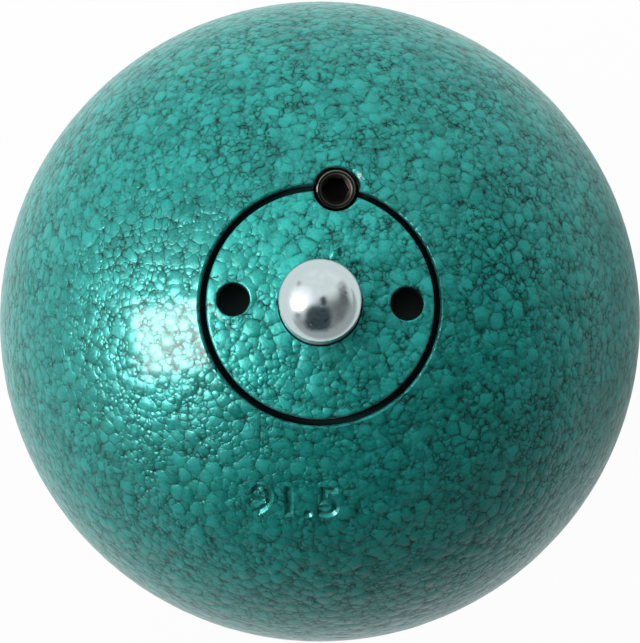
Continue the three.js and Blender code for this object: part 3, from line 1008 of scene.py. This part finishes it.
class HAMMER_OT_bearing(bpy.types.Operator):
    """Thrust bearing: two washers with their races, a cage and twelve balls"""

    bl_idname = "hammer.bearing"
    bl_label = "Bearing"

    def execute(self, context):
        look = context.scene.hammer_look
        steel = ground_steel("ground_bearing_steel", look)
        bore = plan().journal + SEAT_GAP
        self.washer("shaft_washer", "lower_washer", "swivel", bore, 1, steel)
        self.washer("housing_washer", "upper_washer", "head", bore + 0.5, -1, steel)
        low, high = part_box("bearing_cage")
        half, outer, middle = (high.z - low.z) / 2 / MM, high.x / MM, (high.z + low.z) / 2 / MM
        places = [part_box(f"bearing_ball_{i + 1:02d}") for i in range(BALL_COUNT)]
        centres = [(a + b) / 2 / MM for a, b in places]
        radius = (places[0][1].z - places[0][0].z) / 2 / MM
        pitch = centres[0].x
        inner = 2 * pitch - outer
        section = fillet([(inner, middle - half, 0.25), (outer, middle - half, 0.25),
                          (outer, middle + half, 0.25), (inner, middle + half, 0.25)], 4, closed=True)
        cage = turned("ball_cage", lathe(section, 240), closed=True)
        pocket, chamfer = radius + 0.25, 0.2
        mouth, beyond = pocket + chamfer, half + 1
        wall = [(0, -beyond), (mouth, -beyond), (mouth, -half), (pocket, -half + chamfer),
                (pocket, half - chamfer), (mouth, half), (mouth, beyond), (0, beyond)]
        wall = [(r, z + middle) for r, z in wall]
        cut(cage, [turned("pocket", lathe(wall, 48, (c.x, c.y))) for c in centres])
        finish(cage, "cage", ["bearing_cage"], ground_steel("pressed_cage_steel", look, 0.75, 0.3))
        angle = np.linspace(-math.pi / 2, math.pi / 2, 17)
        for i, centre in enumerate(centres):
            profile = np.column_stack((radius * np.cos(angle), centre.z + radius * np.sin(angle)))
            profile[[0, -1], 0] = 0
            ball = turned(f"rolling_ball_{i + 1:02d}", lathe(profile, 32, (centre.x, centre.y)))
            finish(ball, f"ball_{i + 1:02d}", [f"bearing_ball_{i + 1:02d}"], steel, sharp=60)
        return {"FINISHED"}

    def washer(self, node_name, name, body, bore, up, steel):
        """A washer's section, closed: bore, back, rim, face and the race, an arc of a circle with radius race that
        goes down by depth in the middle of the face. Up is 1 if the race faces up."""
        low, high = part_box(node_name)
        back, face = (low.z / MM, high.z / MM) if up > 0 else (high.z / MM, low.z / MM)
        outer = high.x / MM
        pitch, race, depth = (plan().journal + SEAT_GAP + outer) / 2, 1.95, 0.45
        half = math.acos((race - depth) / race)
        angle = np.linspace(half, -half, 13)
        arc = [(pitch + race * math.sin(a), face - up * depth + up * race * (1 - math.cos(a)), 0) for a in angle]
        corners = [(bore, back, 0.3), (outer, back, 0.4), (outer, face, 0.3), *arc, (bore, face, 0.25)]
        section = fillet(corners if up > 0 else corners[::-1], 4, closed=True)
        made = turned(name, lathe(section, 144), closed=True)
        finish(made, body, [node_name], steel)


# Stage


def studio_world(scene, stage):
    """World: white to the camera. Diffuse rays see a soft bright side and a dim side. Glossy rays see both more
    plainly, with a glow round the lamps, a few dark places, the darkest behind the camera, and a pale horizon."""
    world = bpy.data.worlds.new("studio")
    world.use_nodes = True
    scene.world = world
    graph = Graph(world.node_tree)
    way = graph.node("ShaderNodeTexCoord", output="Generated")
    half = graph.vector("NORMALIZE", graph.vector("ADD", way, tuple(camera_axes(stage)[2])))
    wobble = graph.noise(half, 1 / 24, detail=4.0, roughness=0.7, output="Color")
    wobble = graph.scale(graph.vector("SUBTRACT", wobble, (0.5, 0.5, 0.5)), 0.30)
    x, y, _ = graph.axes(graph.vector("ADD", half, wobble))
    z = graph.axes(way)[2]

    def blot(across, up, wide, high, soft, square=1.0):
        """1 inside an oval of the mirror image that a small ball shows, 0 outside. A greater square makes the oval
        boxier."""
        a, b = (x - across) / wide, (y - up) / high
        return (((a * a) ** square + (b * b) ** square) ** (0.5 / square)).step(1 + soft, 1 - soft)

    mirrored = graph.node("ShaderNodeLightPath", output="Is Glossy Ray")
    side = graph.dot(way, DIM_WAY)
    soft = between(side.step(-0.40, 0.17), stage.sky_bright, stage.sky_dim)
    light = between(mirrored, soft, between(side.step(-0.15, 0.45), 1.28, 0.36))
    light = light + graph.dot(way, tuple(KEY_WAY)).step(0.66, 1.0) * 0.6
    streaks = graph.noise(half, 1 / 22, detail=3.0).step(0.38, 0.62)
    clouds = graph.noise(half, 1 / 6, detail=4.0, roughness=0.6).step(0.35, 0.65)
    light = light * (1 - mirrored * 0.12 * (1 - clouds))
    behind = graph.math("MAXIMUM", blot(0.07, -0.06, 0.07, 0.13, 0.3), blot(-0.03, -0.42, 0.28, 0.27, 0.20, 1.6))
    for share, level in ((blot(0.51, 0.14, 0.12, 0.24, 0.7) * (0.6 + 0.4 * streaks), 0.05),
                         (blot(0.42, -0.28, 0.14, 0.20, 0.6) * (0.2 + 0.5 * streaks), 0.16),
                         (blot(-0.47, 0.33, 0.05, 0.05, 0.5), 0.6),
                         (blot(-0.47, -0.37, 0.07, 0.06, 0.5), 0.35),
                         (behind, 0.05 + streaks * 0.10),
                         (blot(0.0, -0.16, 0.22, 0.016, 0.7), 0.5)):
        light = between(share, light, level)
    horizon = mirrored * z.step(0.30, -0.02) * (1 - behind) * (1 - side.step(0.0, 0.5) * 0.75)
    light = between(horizon, light, 1.15)
    light = between(z.step(0.0, -0.25), light, 0.8)
    sees = graph.node("ShaderNodeLightPath", output="Is Camera Ray")
    colour_seen = graph.mix(behind, (0.93, 1.0, 1.0), (0.6, 0.9, 1.0))
    shader = graph.node("ShaderNodeBackground", None,
                        {"Color": colour_seen, "Strength": between(sees, light, 1.0)})
    graph.node("ShaderNodeOutputWorld", None, {"Surface": shader})


def floor_material():
    """Matte floor that looks white to the camera and keeps a trace of its shadow. On the dim side its matte colour is
    grey, painted shade that bounces less light there, and glossy rays find it darker there and in a painted shadow of
    the ball."""
    made = bpy.data.materials.new("white_floor")
    made.use_nodes = True
    graph = Graph(made.node_tree)
    place = graph.node("ShaderNodeTexCoord", output="Object")
    side = graph.dot(place, (0.5, -0.86, 0.0))
    # Painted shade: the matte colour is grey on the dim side.
    tint = graph.mix(side.step(-0.10, 0.09), (0.60, 0.60, 0.60), (0.12, 0.13, 0.13))
    matte = graph.node("ShaderNodeBsdfDiffuse", None, {"Color": tint})
    camera, glossy, through = (graph.node("ShaderNodeLightPath", output=f"Is {kind} Ray")
                               for kind in ("Camera", "Glossy", "Transmission"))
    # A painted shadow of the ball on the floor, which only glossy rays see.
    shadow = graph.vector("DISTANCE", place, (0.095, 0.010, 0.0), output=1).step(0.075, 0.025)
    tint = graph.mix(camera, (0.90, 1.0, 1.0), (1.0, 1.0, 1.0))
    white = graph.node("ShaderNodeEmission", None,
                       {"Color": tint, "Strength": between(camera, 1.16 - shadow * 0.75, 1.0)})
    # Glossy rays see more of the grey matte far out on the dim side: painted shade in the reflections.
    seen = graph.math("MAXIMUM", glossy, through) * between(side.step(0.12, 0.25), 0.97, 0.42)
    seen = graph.math("MAXIMUM", camera * 0.975, seen)
    shader = graph.node("ShaderNodeMixShader", None, {0: seen, 1: matte, 2: white})
    graph.node("ShaderNodeOutputMaterial", None, {"Surface": shader})
    return made


def aimed(place, target):
    """Matrix that puts a lamp at a place and turns it to its target."""
    return Matrix.Translation(place) @ (target - place).to_track_quat("-Z", "Y").to_matrix().to_4x4()


class HAMMER_OT_stage(bpy.types.Operator):
    """Camera, lamps, studio and floor"""

    bl_idname = "hammer.stage"
    bl_label = "Stage"

    def execute(self, context):
        scene = context.scene
        stage = scene.hammer_stage
        scene.view_settings.view_transform = "Standard"
        centre = Vector((0, 0, plan().ball * MM))

        right, up, back = camera_axes(stage)
        data = bpy.data.cameras.new("camera")
        data.lens = stage.camera_lens
        data.sensor_width = 36
        data.clip_start, data.clip_end = 0.01, 20
        camera = bpy.data.objects.new("camera", data)
        turn = Matrix((right, up, back)).transposed().to_4x4()
        camera.matrix_world = Matrix.Translation(centre + back * stage.camera_distance) @ turn
        scene.collection.objects.link(camera)
        scene.camera = camera

        for name, power, tint, distance in (("key", stage.key_power, (1.0, 1.0, 1.0), 0.9),
                                            ("glint", stage.glint_power, (1.0, 0.95, 0.94), 0.91)):
            data = bpy.data.lights.new(name, "AREA")
            data.energy, data.color = power, tint
            data.shape, data.size, data.size_y = "RECTANGLE", 0.34, 0.42
            lamp = bpy.data.objects.new(name, data)
            lamp.matrix_world = aimed(centre + KEY_WAY * distance, centre)
            lamp.visible_diffuse = name == "key"
            scene.collection.objects.link(lamp)

        studio_world(scene, stage)

        wide = 4000.0
        sheet = np.array([(x, y, 0) for x, y in ((-wide, -wide), (wide, -wide), (wide, wide), (-wide, wide))])
        floor = new_object("floor", sheet, np.array([[0, 1, 2, 3]]), np.empty((0, 3), int))
        floor.data.materials.append(floor_material())
        return {"FINISHED"}


class HAMMER_PT_panel(bpy.types.Panel):
    """Lists the operators and the values they use"""

    bl_label = "Hammer head"
    bl_idname = "HAMMER_PT_panel"
    bl_space_type = "VIEW_3D"
    bl_region_type = "UI"
    bl_category = "Hammer"

    def draw(self, context):
        for operator in OPERATORS:
            self.layout.operator(operator.bl_idname)
        for group in (context.scene.hammer_sizes, context.scene.hammer_look, context.scene.hammer_stage):
            box = self.layout.box()
            for name in group.__annotations__:
                box.prop(group, name)


OPERATORS = (HAMMER_OT_stage, HAMMER_OT_ball, HAMMER_OT_plug, HAMMER_OT_lock_screw, HAMMER_OT_stud,
             HAMMER_OT_guides, HAMMER_OT_bearing)
GROUPS = {"hammer_sizes": HeadSizes, "hammer_look": HeadLook, "hammer_stage": StageLook}


def register():
    for cls in (*GROUPS.values(), *OPERATORS, HAMMER_PT_panel):
        bpy.utils.register_class(cls)
    for name, group in GROUPS.items():
        setattr(bpy.types.Scene, name, PointerProperty(type=group))


def unregister():
    for name in GROUPS:
        delattr(bpy.types.Scene, name)
    for cls in reversed((*GROUPS.values(), *OPERATORS, HAMMER_PT_panel)):
        bpy.utils.unregister_class(cls)


def main():
    register()
    bpy.ops.hammer.stage()
    bpy.ops.hammer.ball()
    bpy.ops.hammer.plug()
    bpy.ops.hammer.lock_screw()
    bpy.ops.hammer.stud()
    bpy.ops.hammer.guides()
    bpy.ops.hammer.bearing()


if __name__ == "__main__":
    main()
